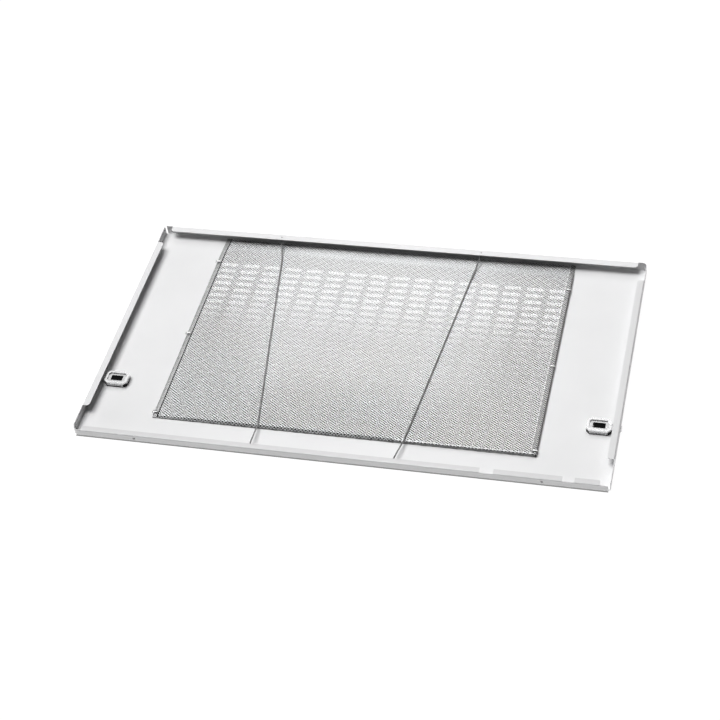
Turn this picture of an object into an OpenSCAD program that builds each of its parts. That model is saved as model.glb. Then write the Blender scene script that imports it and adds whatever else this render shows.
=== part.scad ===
// Suction panel of an under cabinet range hood, for a 60 cm wide hood.
// It lies with its inner side up: the flanges, the filter mat and the latches are on top.
// +X runs to the right, +Y to the back, +Z up. The origin is under the middle of the panel.

/* [Panel] */
// Width of the panel across its side flanges
panel_w = 598; // [590:1:606]
// Depth of the panel from the front flange to the back flange
panel_d = 350; // [344:1:356]
// Thickness of the steel sheet
sheet_t = 0.8; // [0.7:0.1:1]
// Height of the side and back flanges
flange_h = 11.5; // [11:0.5:13]
// Height of the front flange
front_flange_h = 9; // [9:0.5:9.5]
// Outer radius of every fold in the sheet
fold_r = 1.6; // [1.4:0.1:1.8]
// Plan radius of the two closed corners
corner_r = 6; // [5:0.5:8]

/* [Lips] */
// How far each side lip reaches inward
side_lip = 8; // [7:0.5:11]
// How far the back lip reaches inward
back_lip = 9.5; // [9:0.5:10]
// How far the front lip reaches inward
front_lip = 7; // [6.5:0.5:8]
// Radius of the lips' free corners
lip_corner_r = 4; // [3:0.5:5]

/* [Grille] */
// Number of slots in each row
slot_columns = 16; // [10:1:16]
// Number of slot rows
slot_rows = 22; // [10:1:22]
// Length of a slot
slot_l = 21; // [14:0.5:22]
// Width of a slot
slot_w = 5.6; // [4:0.2:6]

/* [Filter mat] */
// Width of the filter mat
mat_w = 435; // [430:1:438]
// Thickness of the filter mat
mat_t = 4.4; // [4.2:0.1:4.5]
// Width of the folded hems along the mat's sides
hem_w = 7; // [5:0.5:8]

/* [Retaining wires] */
// Diameter of the spring wire
wire_d = 1.5; // [1.2:0.1:1.5]

/* [Latches] */
// Length of a latch housing, along X
housing_l = 27; // [26:0.5:28]
// Width of a latch housing, along Y
housing_w = 19; // [18:0.5:20]
// Height of a latch housing above the sheet
housing_h = 6.2; // [6:0.1:6.5]
// How far a bolt draws back
bolt_travel = 4; // [3:0.5:4]

/* [Hidden] */
$fn = 48;

half_w = panel_w / 2;
half_d = panel_d / 2;
bit = 0.5;               // how far a cutter stands past what it cuts

// Panel edges
corner_gap = 2.4;        // relief at the two open corners
lip_y0 = -139;           // ends of the side lips
lip_y1 = 144;
back_lip_x = 288.5;      // half length of the back lip
front_lip_x0 = -290;     // ends of the front lip
front_lip_x1 = 287.5;
front_notches = [[160, 175], [248, 261]];
notch_drop = 1;          // how far a notch cuts into the front flange
pip_x = 227;             // small holes in the front flange
pip_z = 4.6;
pip_r = 1.5;

// Grille
grille_x = 213.5;
grille_y0 = -112;
grille_y1 = 130;
slot_pitch_x = 26.8;
slot_pitch_y = 11;
slot_first_y = 124.9;    // row nearest the back

// Filter mat
mat_shift = -1.3;        // the mat lies a little to the left
mat_y0 = -138.5;
mat_y1 = 172;
skin_t = 0.7;            // thickness of the upper and lower mesh
mat_z0 = sheet_t;
mat_z1 = sheet_t + mat_t;
core_t = (mat_t - 2 * skin_t) / 3;
staple_ys = [125, -3, -132];
staple_t = 0.4;
staple_w = 2.4;
staple_leg = 5.5;

// Retaining wires
wire_r = wire_d / 2;
wire_sides = 10;
wire_bend_r = 1.4;                           // how far from a corner a wire starts to bend
wire_on_mat = 0.1;                           // gaps between a wire and what it lies on or under
wire_under_back = 1.5;
wire_under_front = 0.25;
pivot_gap = 0.2;                             // around and above a wire's leg in the back lip
pivot_y = 170;
pivot_z = flange_h - pivot_gap;
wire_z = mat_z1 + wire_on_mat + wire_r;      // axis of a wire on the mat and under each lip
under_back_z = flange_h - sheet_t - wire_under_back - wire_r;
under_front_z = front_flange_h - sheet_t - wire_under_front - wire_r;
wire_tip_y = -170;
left_pivot_x = -146;
right_pivot_x = 102;
left_wire = [[left_pivot_x, pivot_y, pivot_z], [left_pivot_x, pivot_y, under_back_z],
    [-145, 163, under_back_z], [-138, 137, wire_z], [-94, -139, wire_z],
    [-94.5, -158, under_front_z], [-94.7, wire_tip_y, under_front_z]];
right_wire = [[right_pivot_x, pivot_y, pivot_z], [right_pivot_x, pivot_y, under_back_z],
    [101.5, 163, under_back_z], [96, 117, wire_z], [71, -139, wire_z],
    [67.5, -158, under_front_z], [65.5, wire_tip_y, under_front_z]];

// Latches, written for the right one with its middle at the local origin
latch_x = 276;
latch_y = -87;
chamfer = 3.6;
rim_w = 2.8;
recess_depth = 1.2;
plate_t = 0.9;           // housing wall and the plate around its window
window_l = 13.5;
window_w = 7.5;
slider_l = 12;
slider_w = 8.4;
slider_x0 = -5.5;        // inner face of the slider
slider_z0 = -sheet_t + 0.1;
slider_gap = 0.3;        // above the slider, and around it in the sheet
slider_top = housing_h - recess_depth - plate_t - slider_gap;
foot_w = 10.4;           // wider than the opening, so that the slider can't fall through
foot_t = 1.2;
bolt_w = 8;
bolt_t = 1.6;
bolt_z = 1.6;            // underside of the bolt above the sheet
bolt_gap = 0.2;          // around the bolt in the housing's side
bolt_end_x = slider_x0 + 1.5;
bolt_tip_x = half_w - latch_x + 1.5;
bolt_nose_l = 1.2;       // the tip's bevel
bolt_nose_h = 0.6;
bolt_slot_l = 12;
bolt_slot_h = 2.6;
peg_r = 1.2;
peg_x = 9;
peg_y = 6.8;
peg_z0 = -sheet_t + 0.05;
scoop_r = 9;             // hollow for a finger in the slider's underside
scoop_depth = 1.5;
scoop_wall = 1;
spring_coils = 6;
spring_wire_r = 0.22;
spring_r = 1.35;
spring_z = 2.3;
coil_steps = 12;

// ---------- small helpers ----------

function unit(v) = v / norm(v);

// A path with its inner points replaced by short curves
function smooth(path, d, n = 4) = [
    path[0],
    for (i = [1 : len(path) - 2])
        let (p = path[i], a = p + d * unit(path[i - 1] - p), b = p + d * unit(path[i + 1] - p))
            for (k = [0 : n]) let (t = k / n)
                a * (1 - t) * (1 - t) + 2 * p * t * (1 - t) + b * t * t,
    path[len(path) - 1]];

function ring(path, i, r, sides) =
    let (last = len(path) - 1,
         along = unit(path[min(i + 1, last)] - path[max(i - 1, 0)]),
         a = unit(cross(along, [1, 0, 0])), b = cross(along, a))
        [for (k = [0 : sides - 1])
            path[i] + r * (cos(360 * k / sides) * a + sin(360 * k / sides) * b)];

// Round bar swept along a path that never runs along X
module sweep(path, r, sides) {
    n = len(path);
    points = [for (i = [0 : n - 1]) each ring(path, i, r, sides)];
    walls = [for (i = [0 : n - 2], k = [0 : sides - 1])
        let (m = (k + 1) % sides, a = i * sides, b = a + sides)
            each [[a + k, b + k, b + m], [a + k, b + m, a + m]]];
    start = [for (k = [0 : sides - 1]) k];
    end = [for (k = [sides - 1 : -1 : 0]) (n - 1) * sides + k];
    polyhedron(points, concat(walls, [start, end]), convexity = 6);
}

module box(low, high) {
    translate(low) cube(high - low);
}

// ---------- folded edges of the panel ----------

// Sections lie with the outer face at 0 and the inside at negative values
module quarter_ring(lower) {
    intersection() {
        difference() {
            circle(fold_r);
            circle(fold_r - sheet_t);
        }
        translate([0, lower ? -fold_r : 0]) square(fold_r);
    }
}

module plain_section(h) {
    translate([-fold_r, fold_r]) quarter_ring(true);
    translate([-sheet_t, fold_r]) square([sheet_t, h - fold_r]);
}

module lip_section(h, lip) {
    translate([-fold_r, fold_r]) quarter_ring(true);
    translate([-sheet_t, fold_r]) square([sheet_t, h - 2 * fold_r]);
    translate([-fold_r, h - fold_r]) quarter_ring(false);
    translate([-lip, h - sheet_t]) square([lip - fold_r, sheet_t]);
}

// Edges run between two places and stand at the +X or the +Y side
module edge_right(y0, y1) {
    translate([half_w, y1, 0]) rotate([90, 0, 0]) linear_extrude(y1 - y0) children();
}

module edge_back(x0, x1) {
    translate([x0, half_d, 0]) rotate([90, 0, 90]) linear_extrude(x1 - x0) children();
}

// Quarter turn of a folded edge about a corner's centre, from +X to +Y
module closed_corner(h) {
    rotate_extrude(angle = 90) {
        translate([corner_r, 0]) plain_section(h);
        square([corner_r - fold_r, sheet_t]);
    }
}

// Cutter that rounds the corner of a lip, with the metal towards -X and -Y of it
module lip_rounder(h) {
    difference() {
        translate([0, 0, h - sheet_t - bit]) cube([lip_corner_r + bit, lip_corner_r + bit, sheet_t + 2 * bit]);
        translate([0, 0, h - sheet_t - 2 * bit]) cylinder(r = lip_corner_r, h = sheet_t + 4 * bit);
    }
}

module side_edge(y_from, y_to) {
    edge_right(y_from, lip_y0) plain_section(flange_h);
    difference() {
        edge_right(lip_y0, lip_y1) lip_section(flange_h, side_lip);
        translate([half_w - side_lip + lip_corner_r, lip_y1 - lip_corner_r, 0])
            mirror([1, 0, 0]) lip_rounder(flange_h);
        translate([half_w - side_lip + lip_corner_r, lip_y0 + lip_corner_r, 0])
            rotate(180) lip_rounder(flange_h);
    }
    edge_right(lip_y1, y_to) plain_section(flange_h);
}

module back_edge() {
    edge_back(-half_w + corner_gap, -back_lip_x) plain_section(flange_h);
    difference() {
        edge_back(-back_lip_x, back_lip_x) lip_section(flange_h, back_lip);
        for (side = [0, 1]) mirror([side, 0, 0])
            translate([back_lip_x - lip_corner_r, half_d - back_lip + lip_corner_r, 0])
                mirror([0, 1, 0]) lip_rounder(flange_h);
        for (x = [left_pivot_x, right_pivot_x])
            translate([x, pivot_y, flange_h - sheet_t - bit])
                cylinder(r = wire_r + pivot_gap, h = sheet_t + 2 * bit);
    }
    edge_back(back_lip_x, half_w - corner_r) plain_section(flange_h);
}

module front_edge() {
    x_end = half_w - corner_gap;
    difference() {
        mirror([0, 1, 0]) {
            edge_back(-half_w + corner_r, front_lip_x0) plain_section(front_flange_h);
            edge_back(front_lip_x0, front_lip_x1) lip_section(front_flange_h, front_lip);
            edge_back(front_lip_x1, x_end) plain_section(front_flange_h - notch_drop);
        }
        for (n = front_notches)
            box([n[0], -half_d - bit, front_flange_h - notch_drop],
                [n[1], -half_d + front_lip + bit, front_flange_h + bit]);
        translate([front_lip_x0 + lip_corner_r, -half_d + front_lip - lip_corner_r, 0])
            mirror([1, 0, 0]) lip_rounder(front_flange_h);
        for (x = [-pip_x, pip_x])
            translate([x, -half_d - bit, pip_z]) rotate([-90, 0, 0]) cylinder(r = pip_r, h = sheet_t + 2 * bit);
    }
}

// ---------- sheet parts ----------

module floor_outline() {
    inner_x = half_w - fold_r;
    inner_y = half_d - fold_r;
    difference() {
        translate([-inner_x, -inner_y]) square([2 * inner_x, 2 * inner_y]);
        // open corners, at the front right and the back left
        for (turn = [0, 180]) rotate(turn)
            translate([half_w - corner_gap, -half_d]) square(corner_gap);
        // closed corners, which the quarter turns fill
        for (turn = [0, 180]) rotate(turn)
            translate([half_w - corner_r, half_d - corner_r]) square(corner_r);
        translate([-grille_x, grille_y0]) square([2 * grille_x, grille_y1 - grille_y0]);
        for (side = [0, 1]) mirror([side, 0]) translate([latch_x, latch_y]) latch_holes();
    }
}

// Opening for the slider and the two peg holes of one latch
module latch_holes() {
    x0 = slider_x0 - bolt_travel - slider_gap;
    x1 = slider_x0 + slider_l + slider_gap;
    translate([x0, -slider_w / 2 - slider_gap]) square([x1 - x0, slider_w + 2 * slider_gap]);
    for (s = [-1, 1]) translate([s * peg_x, s * peg_y]) circle(peg_r);
}

module bolt_slot() {
    mid_z = sheet_t + bolt_z + bolt_t / 2;
    box([half_w - sheet_t - bit, latch_y - bolt_slot_l / 2, mid_z - bolt_slot_h / 2],
        [half_w + bit, latch_y + bolt_slot_l / 2, mid_z + bolt_slot_h / 2]);
}

module panel() {
    color("white") difference() {
        union() {
            linear_extrude(sheet_t) floor_outline();
            side_edge(-half_d + corner_gap, half_d - corner_r);
            mirror([1, 0, 0]) side_edge(-half_d + corner_r, half_d - corner_gap);
            back_edge();
            front_edge();
            translate([half_w - corner_r, half_d - corner_r, 0]) closed_corner(flange_h);
            translate([-half_w + corner_r, -half_d + corner_r, 0])
                rotate(180) closed_corner(front_flange_h);
        }
        for (side = [0, 1]) mirror([side, 0, 0]) bolt_slot();
    }
}

module slot() {
    reach = (slot_l - slot_w) / 2;
    translate([-reach, -slot_w / 2]) square([2 * reach, slot_w]);
    for (s = [-1, 1]) translate([s * reach, 0]) circle(slot_w / 2, $fn = 24);
}

module grille() {
    color("whitesmoke") linear_extrude(sheet_t) difference() {
        translate([-grille_x, grille_y0]) square([2 * grille_x, grille_y1 - grille_y0]);
        for (column = [0 : slot_columns - 1], row = [0 : slot_rows - 1])
            translate([(column - (slot_columns - 1) / 2) * slot_pitch_x, slot_first_y - row * slot_pitch_y])
                slot();
    }
}

// ---------- filter mat ----------

module place_mat() {
    translate([mat_shift, 0, 0]) children();
}

// One flat layer of the mat, between two heights
module layer(half, z0, z1) {
    box([-half, mat_y0, z0], [half, mat_y1, z1]);
}

module core(index) {
    z0 = mat_z0 + skin_t + index * core_t;
    color("silver") place_mat() layer(mat_w / 2 - skin_t, z0, z0 + core_t);
}

module filter_mesh_upper() {
    color("silver") place_mat() layer(mat_w / 2 - hem_w, mat_z1 - skin_t, mat_z1);
}

module filter_mesh_lower() {
    color("silver") place_mat() layer(mat_w / 2 - hem_w, mat_z0, mat_z0 + skin_t);
}

// Folded edge around the side of the layers, for the right side
module hem() {
    half = mat_w / 2;
    color("darkgray") {
        box([half - hem_w, mat_y0, mat_z1 - skin_t], [half, mat_y1, mat_z1]);
        box([half - hem_w, mat_y0, mat_z0], [half, mat_y1, mat_z0 + skin_t]);
        box([half - skin_t, mat_y0, mat_z0], [half, mat_y1, mat_z1]);
    }
}

// Three U shaped staples over the right hem
module staples() {
    half = mat_w / 2;
    color("white") for (y = staple_ys) {
        box([half - staple_leg, y - staple_w / 2, mat_z1],
            [half + staple_t, y + staple_w / 2, mat_z1 + staple_t]);
        box([half, y - staple_w / 2, mat_z0 + staple_t],
            [half + staple_t, y + staple_w / 2, mat_z1 + staple_t]);
    }
}

module retaining_wire(path) {
    color("dimgray") sweep(smooth(path, wire_bend_r), wire_r, wire_sides);
}

// ---------- latches, each written for the right side ----------

// Oblong with its corners cut off, and all its sides moved in by inset
module housing_outline(inset) {
    l = housing_l / 2 - inset;
    w = housing_w / 2 - inset;
    c = chamfer - inset * (2 - sqrt(2));
    polygon([[l - c, -w], [l, -w + c], [l, w - c], [l - c, w],
             [-l + c, w], [-l, w - c], [-l, -w + c], [-l + c, -w]]);
}

module place_latch() {
    translate([latch_x, latch_y, sheet_t]) children();
}

module housing() {
    plate_z = housing_h - recess_depth - plate_t;
    color("silver") place_latch() {
        difference() {
            linear_extrude(housing_h) housing_outline(0);
            translate([0, 0, -bit]) linear_extrude(plate_z + bit) housing_outline(plate_t);
            translate([0, 0, plate_z + plate_t]) linear_extrude(recess_depth + bit) housing_outline(rim_w);
            box([-window_l / 2, -window_w / 2, 0], [window_l / 2, window_w / 2, housing_h]);
            box([0, -bolt_w / 2 - bolt_gap, bolt_z - bolt_gap],
                [housing_l, bolt_w / 2 + bolt_gap, bolt_z + bolt_t + bolt_gap]);
        }
        for (s = [-1, 1]) translate([s * peg_x, s * peg_y, peg_z0])
            cylinder(r = peg_r, h = plate_z + bit - peg_z0);
    }
}

module bolt() {
    color("gainsboro") place_latch() translate([0, bolt_w / 2, 0]) rotate([90, 0, 0]) linear_extrude(bolt_w)
        polygon([[bolt_end_x, bolt_z], [bolt_tip_x - bolt_nose_l, bolt_z], [bolt_tip_x, bolt_z + bolt_nose_h],
                 [bolt_tip_x, bolt_z + bolt_t], [bolt_end_x, bolt_z + bolt_t]]);
}

module slider() {
    x1 = slider_x0 + slider_l;
    foot_z = sheet_t + slider_z0;
    color([0.08, 0.08, 0.08]) place_latch() difference() {
        union() {
            box([slider_x0, -slider_w / 2, slider_z0], [x1, slider_w / 2, slider_top]);
            box([slider_x0, -foot_w / 2, foot_z], [x1, foot_w / 2, foot_z + foot_t]);
        }
        box([bolt_end_x, -bolt_w / 2, bolt_z], [x1 + bit, bolt_w / 2, bolt_z + bolt_t]);
        translate([(slider_x0 + x1) / 2, slider_w / 2 - scoop_wall, slider_z0 + scoop_depth - scoop_r])
            rotate([90, 0, 0]) cylinder(r = scoop_r, h = slider_w - 2 * scoop_wall);
    }
}

module spring() {
    x0 = -housing_l / 2 + plate_t + spring_wire_r;
    x1 = slider_x0 - spring_wire_r;
    steps = spring_coils * coil_steps;
    path = [for (i = [0 : steps])
        [x0 + (x1 - x0) * i / steps, spring_r * cos(360 * i / coil_steps),
         spring_z + spring_r * sin(360 * i / coil_steps)]];
    color("silver") place_latch() sweep(path, spring_wire_r, 6);
}

// ---------- named sub-parts ----------

module left_side() {
    mirror([1, 0, 0]) children();
}

panel();
grille();
filter_mesh_upper();
core(2);  // filter_core_top
core(1);  // filter_core_middle
core(0);  // filter_core_bottom
filter_mesh_lower();
place_mat() left_side() hem();  // filter_hem_left
place_mat() hem();  // filter_hem_right
place_mat() left_side() staples();  // filter_staples_left
place_mat() staples();  // filter_staples_right
retaining_wire(left_wire);  // retaining_wire_left
retaining_wire(right_wire);  // retaining_wire_right
left_side() housing();  // latch_housing_left
housing();  // latch_housing_right
left_side() bolt();  // latch_bolt_left
bolt();  // latch_bolt_right
left_side() slider();  // latch_slider_left
slider();  // latch_slider_right
left_side() spring();  // latch_spring_left
spring();  // latch_spring_right
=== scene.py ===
import math

import bpy
import numpy as np
from mathutils import Matrix, Vector


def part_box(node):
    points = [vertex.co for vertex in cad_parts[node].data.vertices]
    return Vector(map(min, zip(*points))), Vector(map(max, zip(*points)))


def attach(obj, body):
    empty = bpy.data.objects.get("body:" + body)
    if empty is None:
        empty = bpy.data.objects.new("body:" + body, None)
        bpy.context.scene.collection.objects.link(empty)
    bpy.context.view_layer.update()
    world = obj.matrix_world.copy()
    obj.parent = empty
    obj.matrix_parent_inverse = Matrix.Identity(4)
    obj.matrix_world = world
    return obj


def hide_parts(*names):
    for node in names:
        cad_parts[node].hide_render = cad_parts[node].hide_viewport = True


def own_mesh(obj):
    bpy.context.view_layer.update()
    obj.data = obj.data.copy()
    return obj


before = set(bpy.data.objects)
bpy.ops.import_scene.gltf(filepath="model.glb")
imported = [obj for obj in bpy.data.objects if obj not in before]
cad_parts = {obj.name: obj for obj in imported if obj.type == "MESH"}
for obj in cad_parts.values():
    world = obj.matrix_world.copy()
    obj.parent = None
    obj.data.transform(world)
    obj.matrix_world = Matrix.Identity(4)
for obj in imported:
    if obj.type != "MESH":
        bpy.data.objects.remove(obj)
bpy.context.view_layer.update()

MM = 0.001

# Places that several parts of the script use
SHEET_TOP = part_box("grille")[1].z
MAT_LOW, MAT_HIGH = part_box("filter_core_top")

# ---------- camera ----------

CAMERA_AZIMUTH = math.radians(18.0)
CAMERA_ELEVATION = math.radians(44.0)
CAMERA_ROLL = math.radians(-7.4)
CAMERA_DISTANCE = 2.01
CAMERA_SIDE_STEP = -0.0093
CAMERA_UP_STEP = -0.0110
CAMERA_LENS_MM = 87.6


def make_camera():
    back = Vector((math.sin(CAMERA_AZIMUTH) * math.cos(CAMERA_ELEVATION),
                   -math.cos(CAMERA_AZIMUTH) * math.cos(CAMERA_ELEVATION),
                   math.sin(CAMERA_ELEVATION)))
    level_right = (-back).cross(Vector((0, 0, 1))).normalized()
    level_up = level_right.cross(-back)
    right = math.cos(CAMERA_ROLL) * level_right + math.sin(CAMERA_ROLL) * level_up
    up = -math.sin(CAMERA_ROLL) * level_right + math.cos(CAMERA_ROLL) * level_up
    data = bpy.data.cameras.new("camera")
    data.lens = CAMERA_LENS_MM
    camera = bpy.data.objects.new("camera", data)
    place = back * CAMERA_DISTANCE + right * CAMERA_SIDE_STEP + up * CAMERA_UP_STEP
    turn = Matrix((right, up, back)).transposed().to_4x4()
    camera.matrix_world = Matrix.Translation(place) @ turn
    bpy.context.scene.collection.objects.link(camera)
    bpy.context.scene.camera = camera


# ---------- nodes ----------

NEUTRAL = (1.0, 1.0, 1.005)
COOL = (0.993, 1.0, 1.006)
# A noise value is taken to run between these
NOISE_LOW, NOISE_HIGH = 0.3, 0.7


def new_material(name):
    material = bpy.data.materials.new(name)
    material.use_nodes = True
    nodes = material.node_tree.nodes
    return material, nodes, material.node_tree.links, nodes["Principled BSDF"]


def noise(nodes, links, scale, detail):
    place = nodes.new("ShaderNodeTexCoord")
    texture = nodes.new("ShaderNodeTexNoise")
    texture.inputs["Scale"].default_value = scale
    texture.inputs["Detail"].default_value = detail
    texture.inputs["Roughness"].default_value = 0.55
    links.new(place.outputs["Object"], texture.inputs["Vector"])
    return texture.outputs["Fac"]


def spread(nodes, links, value, low, high):
    """A noise value spread from low to high."""
    change = nodes.new("ShaderNodeMapRange")
    change.inputs["From Min"].default_value = NOISE_LOW
    change.inputs["From Max"].default_value = NOISE_HIGH
    change.inputs["To Min"].default_value = low
    change.inputs["To Max"].default_value = high
    links.new(value, change.inputs["Value"])
    return change.outputs["Result"]


def grey(nodes, links, value, low, high, tint=NEUTRAL):
    """A noise value as a grey between low and high."""
    ramp = nodes.new("ShaderNodeValToRGB")
    for element, position, level in zip(ramp.color_ramp.elements, (NOISE_LOW, NOISE_HIGH), (low, high)):
        element.position = position
        element.color = (*(level * part for part in tint), 1)
    links.new(value, ramp.inputs["Fac"])
    return ramp.outputs["Color"]


def bump(nodes, links, shader, value, strength, distance):
    node = nodes.new("ShaderNodeBump")
    node.inputs["Strength"].default_value = strength
    node.inputs["Distance"].default_value = distance
    links.new(value, node.inputs["Height"])
    links.new(node.outputs["Normal"], shader.inputs["Normal"])


def value_node(nodes, links, operation, a, b=None):
    """One Math node. Each input is a socket or a number."""
    node = nodes.new("ShaderNodeMath")
    node.operation = operation
    for socket, value in zip(node.inputs, (a, b)):
        if value is None:
            continue
        if isinstance(value, (int, float)):
            socket.default_value = value
        else:
            links.new(value, socket)
    return node.outputs["Value"]


def fade_node(nodes, links, value, start, end, low=0.0, high=1.0):
    """A smooth change from low where value is at start to high where it is at end."""
    fade = nodes.new("ShaderNodeMapRange")
    fade.interpolation_type = "SMOOTHSTEP"
    fade.inputs["From Min"].default_value = start
    fade.inputs["From Max"].default_value = end
    fade.inputs["To Min"].default_value = low
    fade.inputs["To Max"].default_value = high
    links.new(value, fade.inputs["Value"])
    return fade.outputs["Result"]


def blend(nodes, links, factor, a, b):
    node = nodes.new("ShaderNodeMix")
    node.data_type = "RGBA"
    links.new(factor, node.inputs["Factor"])
    links.new(a, node.inputs["A"])
    links.new(b, node.inputs["B"])
    return node.outputs["Result"]


def parts_of(nodes, links, output_name):
    """The X, Y and Z sockets of one output of the Geometry node."""
    geometry = nodes.new("ShaderNodeNewGeometry")
    split = nodes.new("ShaderNodeSeparateXYZ")
    links.new(geometry.outputs[output_name], split.inputs["Vector"])
    return split.outputs


def times(nodes, links, a, b):
    return value_node(nodes, links, "MULTIPLY", a, b)


# ---------- materials ----------

GRAIN_DEPTH = 0.2 * MM
ENAMEL_GREY = (0.80, 0.83)
ENAMEL_ROUGHNESS = (0.30, 0.38)
ENAMEL_CLOUD_SCALE = 9.0
ORANGE_PEEL_SCALE = 900.0
# painted shade on the raised front and right lips
LIP_SHADE_GREY = (0.05, 0.06)
FRONT_LIP_SHADE = 0.13
RIGHT_LIP_SHADE = 0.08
FRONT_LIP_W = 7 * MM
RIGHT_LIP_W = 8.5 * MM
LIP_LEAST_Z = 7.6 * MM
# painted shade on the enamel under the filter mat and on the top face of the grille
UNDER_MAT_SHADE_GREY = (0.07, 0.13)
UNDER_MAT_SHADE_SCALE = 60.0
UNDER_MAT_SHADE_MARGIN = 3 * MM
UNDER_MAT_SHADE_MARGIN_Z = 0.1 * MM


def lip_painted_shade(nodes, links, place):
    """How much painted shade darkens the raised front and right lips."""
    low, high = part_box("panel")
    raised = value_node(nodes, links, "GREATER_THAN", place["Z"], LIP_LEAST_Z)
    front = value_node(nodes, links, "LESS_THAN", place["Y"], low.y + FRONT_LIP_W)
    right = value_node(nodes, links, "GREATER_THAN", place["X"], high.x - RIGHT_LIP_W)
    front = times(nodes, links, front, FRONT_LIP_SHADE)
    right = times(nodes, links, right, RIGHT_LIP_SHADE)
    return times(nodes, links, raised, value_node(nodes, links, "MAXIMUM", front, right))


def under_mat(nodes, links, place):
    """1 on top of the sheet where the filter mat covers it, and 0 elsewhere."""
    mask = value_node(nodes, links, "GREATER_THAN", place["Z"], SHEET_TOP / 2)
    for axis, operation, limit in (("Z", "LESS_THAN", SHEET_TOP + UNDER_MAT_SHADE_MARGIN_Z),
                                   ("X", "GREATER_THAN", MAT_LOW.x + UNDER_MAT_SHADE_MARGIN),
                                   ("X", "LESS_THAN", MAT_HIGH.x - UNDER_MAT_SHADE_MARGIN),
                                   ("Y", "GREATER_THAN", MAT_LOW.y + UNDER_MAT_SHADE_MARGIN),
                                   ("Y", "LESS_THAN", MAT_HIGH.y - UNDER_MAT_SHADE_MARGIN)):
        mask = times(nodes, links, mask, value_node(nodes, links, operation, place[axis], limit))
    return mask


def enamel_material():
    """Satin white enamel with faint orange peel, with painted shade on two lips and under the filter mat.
    """
    material, nodes, links, shader = new_material("white_enamel")
    cloud = noise(nodes, links, ENAMEL_CLOUD_SCALE, 4.0)
    place = parts_of(nodes, links, "Position")
    colour = blend(nodes, links, lip_painted_shade(nodes, links, place),
                   grey(nodes, links, cloud, *ENAMEL_GREY), grey(nodes, links, cloud, *LIP_SHADE_GREY))
    painted_mat_shade = grey(nodes, links, noise(nodes, links, UNDER_MAT_SHADE_SCALE, 4.0), *UNDER_MAT_SHADE_GREY)
    colour = blend(nodes, links, under_mat(nodes, links, place), colour, painted_mat_shade)
    links.new(colour, shader.inputs["Base Color"])
    links.new(spread(nodes, links, cloud, *ENAMEL_ROUGHNESS), shader.inputs["Roughness"])
    shader.inputs["Coat Weight"].default_value = 0.25
    shader.inputs["Coat Roughness"].default_value = 0.12
    bump(nodes, links, shader, noise(nodes, links, ORANGE_PEEL_SCALE, 2.0), 0.08, GRAIN_DEPTH)
    return material


def grille_material():
    """The same enamel, with painted shade on the side that faces the filter mat."""
    material, nodes, links, shader = new_material("grille_enamel")
    cloud = noise(nodes, links, ENAMEL_CLOUD_SCALE, 4.0)
    upper = value_node(nodes, links, "GREATER_THAN", parts_of(nodes, links, "Normal")["Z"], 0.5)
    painted_mat_shade = grey(nodes, links, noise(nodes, links, UNDER_MAT_SHADE_SCALE, 4.0), *UNDER_MAT_SHADE_GREY)
    colour = blend(nodes, links, upper, grey(nodes, links, cloud, *ENAMEL_GREY), painted_mat_shade)
    links.new(colour, shader.inputs["Base Color"])
    links.new(spread(nodes, links, cloud, *ENAMEL_ROUGHNESS), shader.inputs["Roughness"])
    return material


def metal_material(name, low, high, rough_low, rough_high, scale, bump_strength=0.0, metallic=1.0,
                   tint=NEUTRAL):
    material, nodes, links, shader = new_material(name)
    shader.inputs["Metallic"].default_value = metallic
    grain = noise(nodes, links, scale, 4.0)
    links.new(grey(nodes, links, grain, low, high, tint), shader.inputs["Base Color"])
    links.new(spread(nodes, links, grain, rough_low, rough_high), shader.inputs["Roughness"])
    if bump_strength:
        bump(nodes, links, shader, grain, bump_strength, GRAIN_DEPTH)
    return material


LATCH_RIM_Z = 0.2 * MM
LATCH_FOOT_Z = 1.2 * MM
SUNK_SIDE_Z = 0.4 * MM    # above the slider
CUT_CORNER_LEAST = 0.2    # of |normal x * normal y|, which is 0.5 at 45 degrees
RIM_GREY = (0.74, 0.84)
SUNK_GREY = (0.60, 0.70)
# painted light on the walls of the sunk top, painted shade on the outer sides, and dark painted shade on
# the cut corners and along the foot
LIT_SUNK_WALL_GREY = (0.88, 0.96)
SHADED_SIDE_GREY = (0.48, 0.62)
LATCH_DARK_SHADE_GREY = (0.02, 0.06)


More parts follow.
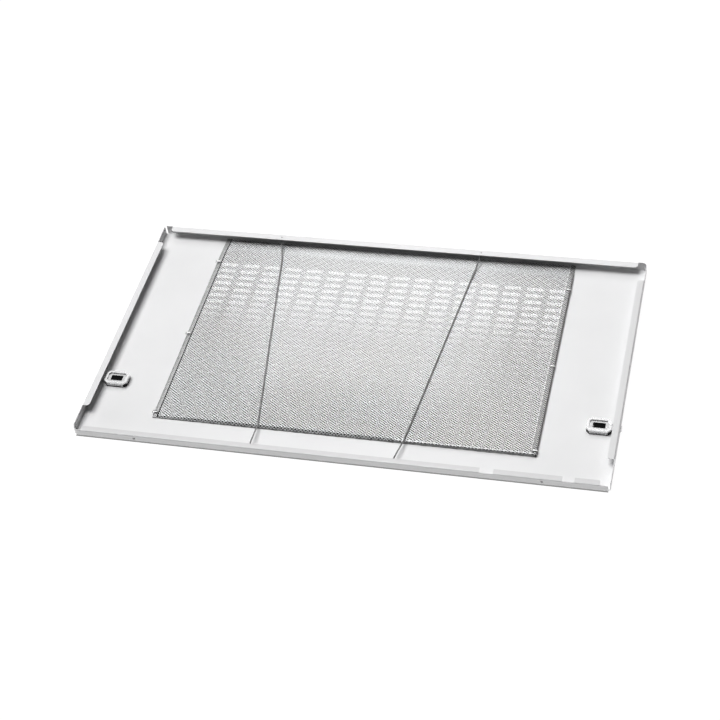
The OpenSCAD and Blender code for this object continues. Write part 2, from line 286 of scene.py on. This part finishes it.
def latch_material(name, side_name):
    """Nickel plate, lighter on the rim than in the sunk top. The walls of the sunk top are painted light,
    the outer sides are painted shade, and the cut corners and the foot are painted dark shade."""
    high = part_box("latch_housing_" + side_name)[1]
    slider_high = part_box("latch_slider_" + side_name)[1]
    material, nodes, links, shader = new_material(name)
    grain = noise(nodes, links, 420.0, 4.0)
    normal = parts_of(nodes, links, "True Normal")
    place = parts_of(nodes, links, "Position")
    upright = value_node(nodes, links, "LESS_THAN",
                         value_node(nodes, links, "ABSOLUTE", normal["Z"]), 0.5)
    corner = value_node(nodes, links, "ABSOLUTE", times(nodes, links, normal["X"], normal["Y"]))
    corner = value_node(nodes, links, "GREATER_THAN", corner, CUT_CORNER_LEAST)
    below_rim = value_node(nodes, links, "LESS_THAN", place["Z"], high.z - LATCH_RIM_Z)
    foot = value_node(nodes, links, "LESS_THAN", place["Z"], SHEET_TOP + LATCH_FOOT_Z)
    above_slider = value_node(nodes, links, "GREATER_THAN", place["Z"], slider_high.z + SUNK_SIDE_Z)
    sunk_wall = times(nodes, links, upright, above_slider)
    outer = value_node(nodes, links, "SUBTRACT", upright, sunk_wall)
    # painted shade on the cut corners and along the foot
    dark = value_node(nodes, links, "MAXIMUM", times(nodes, links, corner, outer), foot)
    dark = times(nodes, links, dark, upright)
    colour = grey(nodes, links, grain, *RIM_GREY)
    for mask, greys in ((below_rim, SUNK_GREY), (sunk_wall, LIT_SUNK_WALL_GREY),
                        (outer, SHADED_SIDE_GREY), (dark, LATCH_DARK_SHADE_GREY)):
        colour = blend(nodes, links, mask, colour, grey(nodes, links, grain, *greys))
    links.new(colour, shader.inputs["Base Color"])
    links.new(spread(nodes, links, grain, 0.22, 0.34), shader.inputs["Roughness"])
    shader.inputs["Metallic"].default_value = 0.75
    bump(nodes, links, shader, grain, 0.03, GRAIN_DEPTH)
    return material


# painted shade on the foil layers inside the mat, lifted by a painted pool of light in their middle
CORE_LIT_MID_GREY = (0.30, 0.42)
CORE_SHADED_EDGE_GREY = (0.02, 0.04)
CORE_SIDE_FADE = (190 * MM, 90 * MM)    # distance from the middle line, outer and inner end
CORE_FRONT_FADE = (20 * MM, 120 * MM)    # distance from the front


def core_material():
    """Foil painted dark as shade, lightened by painted light in the middle of the mat, less so towards its
    sides and front.
    """
    material, nodes, links, shader = new_material("core_foil")
    grain = noise(nodes, links, 180.0, 4.0)
    place = parts_of(nodes, links, "Position")
    from_mid = value_node(nodes, links, "SUBTRACT", place["X"], (MAT_LOW.x + MAT_HIGH.x) / 2)
    from_mid = value_node(nodes, links, "ABSOLUTE", from_mid)
    across = fade_node(nodes, links, from_mid, *CORE_SIDE_FADE)
    along = fade_node(nodes, links, place["Y"], *(MAT_LOW.y + step for step in CORE_FRONT_FADE))
    colour = blend(nodes, links, times(nodes, links, across, along),
                   grey(nodes, links, grain, *CORE_SHADED_EDGE_GREY),
                   grey(nodes, links, grain, *CORE_LIT_MID_GREY))
    links.new(colour, shader.inputs["Base Color"])
    links.new(spread(nodes, links, grain, 0.45, 0.6), shader.inputs["Roughness"])
    shader.inputs["Metallic"].default_value = 1.0
    return material


def plastic_material():
    material, nodes, links, shader = new_material("black_plastic")
    grain = noise(nodes, links, 1500.0, 3.0)
    links.new(grey(nodes, links, grain, 0.004, 0.009), shader.inputs["Base Color"])
    links.new(spread(nodes, links, grain, 0.45, 0.6), shader.inputs["Roughness"])
    shader.inputs["Specular IOR Level"].default_value = 0.15
    bump(nodes, links, shader, grain, 0.2, 0.1 * MM)
    return material


ENAMEL = enamel_material()
GRILLE_ENAMEL = grille_material()
# name, darkest and lightest grey, least and most roughness, scale of the grain
MESH_ALUMINIUM = metal_material("expanded_aluminium", 0.90, 0.98, 0.42, 0.56, 260.0,
                                metallic=0.6, tint=COOL)
CORE_FOIL = core_material()
HEM_ALUMINIUM = metal_material("hem_aluminium", 0.60, 0.80, 0.45, 0.6, 300.0, metallic=0.5)
# a real cut rim, coloured near white as a painted highlight
RIM_HIGHLIGHT = metal_material("rim_painted_highlight", 0.82, 0.92, 0.4, 0.5, 700.0, metallic=0.05)
# front_foil and folded_foil are greyed as painted shade on the front side of the mat and inside its folded
# edges
FRONT_FOIL = metal_material("front_foil", 0.30, 0.55, 0.5, 0.6, 500.0, metallic=0.5)
FOLDED_FOIL = metal_material("folded_foil", 0.06, 0.16, 0.5, 0.6, 400.0, metallic=0.5)
STAPLE_STEEL = metal_material("staple_steel", 0.90, 0.97, 0.2, 0.3, 900.0, metallic=0.5)
# a lit copy of staple_steel, painted white as a highlight on the right staples
LIT_STAPLE_STEEL = metal_material("staple_steel_painted_highlight", 0.94, 0.98, 0.3, 0.4, 900.0, metallic=0.0)
SPRING_WIRE = metal_material("spring_wire", 0.42, 0.62, 0.24, 0.36, 1200.0)
LEFT_LATCH_METAL = latch_material("latch_metal_left", "left")
RIGHT_LATCH_METAL = latch_material("latch_metal_right", "right")
BOLT_STEEL = metal_material("bolt_steel", 0.78, 0.88, 0.22, 0.34, 500.0, bump_strength=0.05)
BLACK_PLASTIC = plastic_material()

NODE_MATERIALS = {
    "panel": ENAMEL, "grille": GRILLE_ENAMEL,
    "retaining_wire_left": SPRING_WIRE, "retaining_wire_right": SPRING_WIRE,
    "latch_housing_left": LEFT_LATCH_METAL, "latch_housing_right": RIGHT_LATCH_METAL,
    "latch_bolt_left": BOLT_STEEL, "latch_bolt_right": BOLT_STEEL,
    "latch_slider_left": BLACK_PLASTIC, "latch_slider_right": BLACK_PLASTIC,
    "latch_spring_left": SPRING_WIRE, "latch_spring_right": SPRING_WIRE,
}


def paint_frame():
    for name, material in NODE_MATERIALS.items():
        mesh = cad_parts[name].data
        mesh.materials.clear()
        mesh.materials.append(material)


# ---------- expanded metal ----------

SWELL_START = 25 * MM
SWELL_REACH = 100 * MM


def smooth_step(part):
    part = np.clip(part, 0, 1)
    return part * part * (3 - 2 * part)


def diamond_mesh(width, depth, pitch_x, pitch_y, knot, tilt, swell=0.0):
    """Points and faces of a flat expanded sheet about the origin. Each knot of the mesh has four
    corners, and each strand joins a side of one knot to a side of the next, so the sheet is one surface.
    The strands are broader by the share swell in the middle, away from the two sides and the front."""
    columns = int(width / (pitch_x / 2)) + 1
    rows = int(depth / (pitch_y / 2)) + 1
    number = {}
    knots = []
    for i in range(columns):
        for j in range(i % 2, rows, 2):
            number[(i, j)] = len(knots)
            knots.append(((i - (columns - 1) / 2) * pitch_x / 2, (j - (rows - 1) / 2) * pitch_y / 2, 0))
    knots = np.array(knots)
    knot_x = knot * pitch_x / pitch_y
    corners = np.array([(knot_x, 0, 0), (0, knot, tilt), (-knot_x, 0, 0), (0, -knot, -tilt)])
    across = smooth_step((width / 2 - np.abs(knots[:, 0]) - SWELL_START) / SWELL_REACH)
    along = smooth_step((knots[:, 1] + depth / 2 - SWELL_START) / SWELL_REACH)
    size = 1 + swell * across * along
    points = (knots[:, None, :] + corners[None, :, :] * size[:, None, None]).reshape(-1, 3)
    faces = []
    for (i, j), a in number.items():
        faces.append((4 * a, 4 * a + 1, 4 * a + 2, 4 * a + 3))
        b = number.get((i + 1, j + 1))
        if b is not None:
            faces.append((4 * a + 1, 4 * a, 4 * b + 3, 4 * b + 2))
        b = number.get((i + 1, j - 1))
        if b is not None:
            faces.append((4 * a, 4 * a + 3, 4 * b + 2, 4 * b + 1))
    return points, faces


def add_object(name, mesh, body, nodes=()):
    piece = bpy.data.objects.new(name, mesh)
    bpy.context.scene.collection.objects.link(piece)
    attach(piece, body)
    if nodes:
        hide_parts(*nodes)
    return piece


def add_piece(name, points, faces, material, nodes=()):
    """A new piece of the mat, which rides on the root body."""
    mesh = bpy.data.meshes.new(name)
    mesh.from_pydata(np.asarray(points).tolist(), [], faces)
    mesh.materials.append(material)
    add_object(name, mesh, "root", nodes)


TUCK_START = 28 * MM    # distance from the back of the mat
TUCK_END = 10 * MM
TUCK_LEAST = 0.15
LEAST_GAP = 0.03 * MM
THIN_SIDE_W = 80 * MM
THIN_SIDE_LEAST = 0.6
FRONT_BEND = 3.5 * MM
FRONT_BEND_END_X = 110 * MM
FRONT_BEND_FADE = 90 * MM
FRONT_BEND_LEAST = 0.4


def tuck(points):
    """Press the mat down towards the sheet under the back lip, along the left of its front edge, and a
    little along its left side."""
    back = smooth_step((points[:, 1] - (MAT_HIGH.y - TUCK_START)) / (TUCK_START - TUCK_END))
    left = smooth_step(1 - (points[:, 0] - MAT_LOW.x) / THIN_SIDE_W)
    front = smooth_step(1 - (points[:, 1] - MAT_LOW.y) / FRONT_BEND)
    front *= smooth_step((FRONT_BEND_END_X - points[:, 0]) / FRONT_BEND_FADE)
    squeeze = 1 - (1 - TUCK_LEAST) * back
    squeeze *= 1 - (1 - THIN_SIDE_LEAST) * left
    squeeze *= 1 - (1 - FRONT_BEND_LEAST) * front
    points[:, 2] = SHEET_TOP + (points[:, 2] - SHEET_TOP) * squeeze
    return points


def expanded_sheet(name, node, material, pitch_x, pitch_y, knot, tilt, edge_x, edge_y,
                   wave=0.0, wave_length=9 * MM, wave_turn=0.0, swell=0.0):
    """A sheet of diamond mesh that fills a CAD layer, flat or crimped in waves."""
    low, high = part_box(node)
    mid = np.array((low + high) / 2)
    points, faces = diamond_mesh(high.x - low.x - 2 * edge_x, high.y - low.y - 2 * edge_y,
                                 pitch_x, pitch_y, knot, tilt, swell)
    along = points[:, 0] * math.cos(wave_turn) + points[:, 1] * math.sin(wave_turn)
    across = points[:, 1] * math.cos(wave_turn) - points[:, 0] * math.sin(wave_turn)
    lift = points[:, 2].copy()
    wander = 0.8 * np.sin(across / (21 * MM))
    points[:, 2] = wave * np.sin(2 * math.pi * along / wave_length + wander)
    points = tuck(points + mid)
    points[:, 2] = np.maximum(points[:, 2] + lift, SHEET_TOP + LEAST_GAP)
    add_piece(name, points, faces, material, [node])


# ---------- edges of the mat ----------

# Section through the folded edge of the mat: distance in from the side, and height above the underside
HEM_SECTION = np.array([(6.9, 4.0), (5.4, 3.95), (4.2, 3.75), (3.0, 3.25), (1.9, 2.6), (1.0, 1.7),
                        (0.5, 0.9)]) * MM
STEEP_HEM_SECTION = np.array([(6.9, 4.0), (4.4, 4.0), (2.5, 3.9), (1.4, 3.6), (0.7, 2.9), (0.45, 1.8),
                              (0.4, 0.7)]) * MM
HEM_END_GAP = 0.4 * MM
HEM_CRIMP = 0.10 * MM
HEM_INSIDE = 0.45 * MM
HEM_FOIL_GAP = 0.05 * MM
HEM_FOIL_STOPS = 9
HEM_FOIL_ROWS = 240
RIM_STEP = 0.8 * MM
HEM_RIM_W = 1.0 * MM


def hem_place(section, side, along, lift, low, high):
    """Points on a section, by their distance along it, moved out from it by lift."""
    steps = np.diff(section, axis=0)
    run = np.concatenate([[0], np.cumsum(np.hypot(steps[:, 0], steps[:, 1]))])
    u = np.interp(along, run, section[:, 0])
    z = np.interp(along, run, section[:, 1])
    slope = np.gradient(section, run, axis=0)
    turn_u = np.interp(along, run, slope[:, 0])
    turn_z = np.interp(along, run, slope[:, 1])
    length = np.hypot(turn_u, turn_z)
    u = u + lift * turn_z / length
    z = z - lift * turn_u / length
    x = high.x - u if side > 0 else low.x + u
    return x, low.z + z


def ribbon(rows_of_points):
    """Points and faces that join rows of points, each row with the same count."""
    columns = len(rows_of_points[0])
    points = [p for row in rows_of_points for p in row]
    faces = [(i * columns + j, i * columns + j + 1, (i + 1) * columns + j + 1, (i + 1) * columns + j)
             for i in range(len(rows_of_points) - 1) for j in range(columns - 1)]
    return points, faces


def add_ribbon(name, rows, material):
    points, faces = ribbon(rows)
    add_piece(name, tuck(np.array(points)), faces, material)


def ripple(place, length):
    return math.sin(place / length)


def make_hem(side_name, side, section, gap, pitch_x, pitch_y, knot, tilt):
    """The mesh folded over the side of the mat, with foil inside it. gap is the crease beside the top
    mesh."""
    node = "filter_hem_" + side_name
    low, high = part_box(node)
    depth = high.y - low.y - 2 * HEM_END_GAP
    mid_y = (low.y + high.y) / 2
    section = section.copy()
    section[0, 0] -= gap
    steps = np.diff(section, axis=0)
    length = np.hypot(steps[:, 0], steps[:, 1]).sum()
    points, faces = diamond_mesh(length, depth, pitch_x, pitch_y, knot, tilt)
    along = (points[:, 0] - points[:, 0].min()) / np.ptp(points[:, 0]) * length
    crimp = HEM_CRIMP * np.sin(points[:, 1] / (0.9 * MM)) * np.sin(points[:, 1] / (7.3 * MM))
    x, z = hem_place(section, side, along, points[:, 2] + crimp, low, high)
    strands = tuck(np.stack([x, points[:, 1] + mid_y, z], axis=1))
    add_piece("hem_" + side_name, strands, faces, HEM_ALUMINIUM, [node])
    # foil inside the fold, greyed as painted shade
    stops = np.linspace(0, length, HEM_FOIL_STOPS)
    x, z = hem_place(section, side, stops, np.full(len(stops), -HEM_INSIDE), low, high)
    rows = [[(a, mid_y + y, max(b, low.z + HEM_FOIL_GAP)) for a, b in zip(x, z)]
            for y in np.linspace(-depth / 2, depth / 2, HEM_FOIL_ROWS)]
    add_ribbon("hem_foil_" + side_name, rows, FOLDED_FOIL)
    if gap == 0:
        # the cut rim of the fold, which lies on the top mesh, with a painted highlight on it
        rows = []
        for y in np.arange(-depth / 2, depth / 2, RIM_STEP):
            u = section[0, 0] + 0.12 * MM * ripple(y, 2.1 * MM)
            half = HEM_RIM_W / 2 * (0.75 + 0.25 * ripple(y, 1.3 * MM))
            z = high.z - 0.02 * MM - 0.05 * MM * (1 + ripple(y, 1.7 * MM))
            rows.append([(high.x - u - half, mid_y + y, z), (high.x - u + half, mid_y + y, z)])
        add_ribbon("hem_rim_" + side_name, rows, RIM_HIGHLIGHT)


FRONT_END_GAP = 1.5 * MM
FRONT_STEP = 1.5 * MM
FRONT_RIM_START = 60 * MM
FRONT_RIM_W = 1.2 * MM
FRONT_RIM_IN = 1.9 * MM


def make_front_edge():
    """The crushed ends of the foil along the front of the mat, greyed as painted shade, and the cut ends
    of the top mesh that are bent up along the right of it, with a painted highlight on them."""
    low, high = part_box("filter_core_bottom")
    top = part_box("filter_mesh_upper")[1].z
    rows = []
    for x in np.arange(low.x + FRONT_END_GAP, high.x - FRONT_END_GAP, FRONT_STEP):
        push = 0.25 * MM * ripple(x, 1.9 * MM) + 0.2 * MM * ripple(x, 5.3 * MM)
        rows.append([(x, low.y + 0.6 * MM + push, low.z - 0.5 * MM),
                     (x, low.y + 0.9 * MM - push, (low.z + top) / 2),
                     (x, low.y + 0.7 * MM, top - 0.9 * MM)])
    add_ribbon("front_foil", rows, FRONT_FOIL)
    rows = []
    for x in np.arange(FRONT_RIM_START, high.x - FRONT_END_GAP, RIM_STEP):
        half = FRONT_RIM_W / 2 * (0.65 + 0.35 * ripple(x, 1.1 * MM))
        z = top - 0.03 * MM - 0.05 * MM * (1 + ripple(x, 1.6 * MM))
        y = low.y + FRONT_RIM_IN + 0.15 * MM * ripple(x, 2.3 * MM)
        rows.append([(x, y - half, z), (x, y + half, z)])
    add_ribbon("front_rim", rows, RIM_HIGHLIGHT)


STAPLE_YS = (125 * MM, -3 * MM, -132 * MM)
STAPLE_W = 2.1 * MM
STAPLE_SHOULDER = 0.25 * MM
# the dark patches beside the staples are painted shade
STAPLE_SHADE_W = 0.8 * MM
STAPLE_SHADE_RISE = 0.04 * MM
STAPLE_SHADE_OUTER = 1.2 * MM


def make_staples(side_name, side, material):
    """Each staple is a band with rounded shoulders, bent down over the side of the mat. A dark patch
    beside it is painted shade where the staple pulls the mesh open."""
    node = "filter_staples_" + side_name
    low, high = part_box(node)
    hem_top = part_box("filter_hem_" + side_name)[1].z
    reach = high.x - low.x
    outer = high.x if side > 0 else low.x
    half = STAPLE_W / 2
    # section through the band: distance in from the outer side, and drop from the top
    section = [(reach, 0.9 * MM), (reach - 0.15 * MM, 0.1 * MM), (reach * 0.75, 0),
               (reach * 0.3, 0.05 * MM), (0.55 * MM, 0.5 * MM), (0.1 * MM, 1.2 * MM), (0.1 * MM, 3.2 * MM)]
    shade_x = (outer - side * reach * 0.95, outer - side * STAPLE_SHADE_OUTER)
    points, faces = [], []
    shade_points, shade_faces = [], []
    for y in STAPLE_YS:
        for u, drop in section:
            x = outer - side * u
            z = high.z - drop
            n = len(points)
            points += [(x, y - half, z - STAPLE_SHOULDER), (x, y - half * 0.6, z),
                       (x, y + half * 0.6, z), (x, y + half, z - STAPLE_SHOULDER)]
            if u < reach:
                faces += [(n - 4 + j, n - 3 + j, n + 1 + j, n + j) for j in range(3)]
        # the patch is in front of the staple, except at the front left, where it is behind it
        behind = y == STAPLE_YS[-1] and side < 0
        y0 = y + half if behind else y - half - STAPLE_SHADE_W
        z = hem_top + STAPLE_SHADE_RISE
        n = len(shade_points)
        shade_points += [(shade_x[0], y0, z), (shade_x[1], y0, z),
                 (shade_x[1], y0 + STAPLE_SHADE_W, z), (shade_x[0], y0 + STAPLE_SHADE_W, z)]
        shade_faces.append((n, n + 1, n + 2, n + 3))
    add_piece("staples_" + side_name, points, faces, material, [node])
    add_piece("staple_shade_" + side_name, shade_points, shade_faces, CORE_FOIL)


# ---------- the mat and the springs ----------

def make_mat():
    # pitch across and along, half knot, tilt, and the gap left at the sides and ends, all in metres
    expanded_sheet("upper_mesh", "filter_mesh_upper", MESH_ALUMINIUM,
                   4.0 * MM, 3.0 * MM, 0.335 * MM, 0.21 * MM, 0.4 * MM, 0.4 * MM, swell=0.24)
    expanded_sheet("core_foil_top", "filter_core_top", CORE_FOIL,
                   3.3 * MM, 7.1 * MM, 0.25 * MM, 0.12 * MM, 4.6 * MM, 0.6 * MM,
                   wave=0.3 * MM, wave_length=11 * MM, wave_turn=0.4)
    expanded_sheet("core_foil_middle", "filter_core_middle", CORE_FOIL,
                   7.1 * MM, 3.3 * MM, 0.14 * MM, 0.08 * MM, 3.2 * MM, 0.6 * MM,
                   wave=0.3 * MM, wave_length=13 * MM, wave_turn=1.9)
    expanded_sheet("core_foil_bottom", "filter_core_bottom", CORE_FOIL,
                   3.3 * MM, 7.1 * MM, 0.22 * MM, 0.12 * MM, 1.8 * MM, 0.6 * MM,
                   wave=0.3 * MM, wave_length=12 * MM, wave_turn=1.1)
    expanded_sheet("lower_mesh", "filter_mesh_lower", MESH_ALUMINIUM,
                   6.0 * MM, 4.5 * MM, 0.18 * MM, 0.12 * MM, 0.4 * MM, 0.4 * MM)
    # crease, then pitch across and along, half knot and tilt
    make_hem("left", -1, HEM_SECTION, 0.45 * MM, 2.7 * MM, 2.2 * MM, 0.36 * MM, 0.16 * MM)
    make_hem("right", 1, STEEP_HEM_SECTION, 0, 4.0 * MM, 3.0 * MM, 0.40 * MM, 0.22 * MM)
    make_front_edge()
    make_staples("left", -1, STAPLE_STEEL)
    # the right staples carry the painted highlight
    make_staples("right", 1, LIT_STAPLE_STEEL)


def make_springs():
    """The spring behind each bolt, copied from its CAD node onto the root body. The real spring is
    compressed against the housing when its bolt is drawn back."""
    for side_name, side in (("left", -1), ("right", 1)):
        node, joint_name = "latch_spring_" + side_name, side_name + "_bolt_slide"
        piece = add_object("spring_" + side_name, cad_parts[node].data.copy(), "root",
                           [node])
        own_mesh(piece)


# ---------- stage ----------

FLOOR_REACH = 6.0
FLOOR_DROP = 1.0 * MM
CONTACT_DROP = 0.9 * MM
BACKLIGHT_DROP = 0.5 * MM
CONTACT_INSET = 2.5 * MM
FLOOR_GLOW = 0.95
CONTACT_GLOW = 0.3
FLOOR_GREY = (0.1, 0.1, 0.1, 1)
WHITE = (1, 1, 1, 1)
BACKLIGHT_FADE = (0.0, 90 * MM)    # from the middle towards the back
BACKLIGHT_STRENGTH = (0.14, 1.0)


def glowing_material(name, strength, specular):
    """A matt surface that gives off light of its own."""
    material, _, _, shader = new_material(name)
    shader.inputs["Base Color"].default_value = FLOOR_GREY
    shader.inputs["Roughness"].default_value = 1.0
    shader.inputs["Specular IOR Level"].default_value = specular
    shader.inputs["Emission Color"].default_value = WHITE
    shader.inputs["Emission Strength"].default_value = strength
    return material


def backlight_material():
    """Light from beneath the grille, strongest at the back."""
    material, nodes, links, shader = new_material("backlight")
    nodes.remove(shader)
    place = nodes.new("ShaderNodeTexCoord")
    split = nodes.new("ShaderNodeSeparateXYZ")
    light = nodes.new("ShaderNodeEmission")
    links.new(place.outputs["Object"], split.inputs["Vector"])
    strength = fade_node(nodes, links, split.outputs["Y"], *BACKLIGHT_FADE, *BACKLIGHT_STRENGTH)
    links.new(strength, light.inputs["Strength"])
    links.new(light.outputs["Emission"], nodes["Material Output"].inputs["Surface"])
    return material


def flat_plate(name, low, high, z, material):
    mesh = bpy.data.meshes.new(name)
    corners = [(low[0], low[1], z), (high[0], low[1], z), (high[0], high[1], z), (low[0], high[1], z)]
    mesh.from_pydata(corners, [], [(0, 1, 2, 3)])
    mesh.materials.append(material)
    plate = bpy.data.objects.new(name, mesh)
    bpy.context.scene.collection.objects.link(plate)


def make_stage():
    """The floor, the light under the grille, and shade under the panel, so that its lower edge stands
    out from the floor."""
    flat_plate("floor", (-FLOOR_REACH, -FLOOR_REACH), (FLOOR_REACH, FLOOR_REACH), -FLOOR_DROP,
               glowing_material("pale_floor", FLOOR_GLOW, 0.0))
    low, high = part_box("grille")
    flat_plate("backlight", low, high, -BACKLIGHT_DROP, backlight_material())
    low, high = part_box("panel")
    flat_plate("contact", (low.x + CONTACT_INSET, low.y), (high.x - CONTACT_INSET, high.y),
               -CONTACT_DROP, glowing_material("contact_shade", CONTACT_GLOW, 0.5))


def aim_lamp(name, data, place, aim):
    lamp = bpy.data.objects.new(name, data)
    lamp.location = place
    lamp.rotation_euler = (Vector(aim) - Vector(place)).to_track_quat("-Z", "Y").to_euler()
    bpy.context.scene.collection.objects.link(lamp)


def area_light(name, place, size_x, size_y, power):
    """A softbox that faces the middle of the part."""
    data = bpy.data.lights.new(name, "AREA")
    data.shape = "RECTANGLE"
    data.size = size_x
    data.size_y = size_y
    data.energy = power
    aim_lamp(name, data, place, (0, 0, 0))


def spot_light(name, place, aim, angle, power):
    """A soft pool of light."""
    data = bpy.data.lights.new(name, "SPOT")
    data.spot_size = angle
    data.spot_blend = 1.0
    data.shadow_soft_size = 0.2
    data.energy = power
    aim_lamp(name, data, place, aim)


def make_lights():
    area_light("key", (-5.5, 1.0, 16.0), 10.0, 13.0, 3000)
    area_light("back_softbox", (-0.2, 2.4, 2.4), 3.2, 1.6, 21)
    area_light("fill", (0.2, -3.2, 0.5), 2.0, 0.6, 12)
    spot_light("mat_spot", (-0.5, 1.3, 2.6), (0.025, 0.03, 0), math.radians(8.4), 58)


def make_world():
    """Dim at the horizon and a little brighter overhead, like a studio with a light ceiling."""
    world = bpy.data.worlds.new("studio")
    world.use_nodes = True
    nodes, links = world.node_tree.nodes, world.node_tree.links
    place = nodes.new("ShaderNodeTexCoord")
    split = nodes.new("ShaderNodeSeparateXYZ")
    ramp = nodes.new("ShaderNodeValToRGB")
    for element, position, level in zip(ramp.color_ramp.elements, (0.2, 0.9), (0.02, 0.05)):
        element.position = position
        element.color = (level, level, level, 1)
    links.new(place.outputs["Generated"], split.inputs["Vector"])
    links.new(split.outputs["Z"], ramp.inputs["Fac"])
    links.new(ramp.outputs["Color"], nodes["Background"].inputs["Color"])
    bpy.context.scene.world = world


make_camera()
paint_frame()
make_mat()
make_springs()
make_stage()
make_world()
make_lights()
bpy.context.scene.view_settings.view_transform = "Standard"
bpy.context.scene.view_settings.gamma = 0.75
# keeps the texture of the mesh, whose strands are finer than a pixel in the main view
bpy.context.scene.cycles.denoising_prefilter = "NONE"
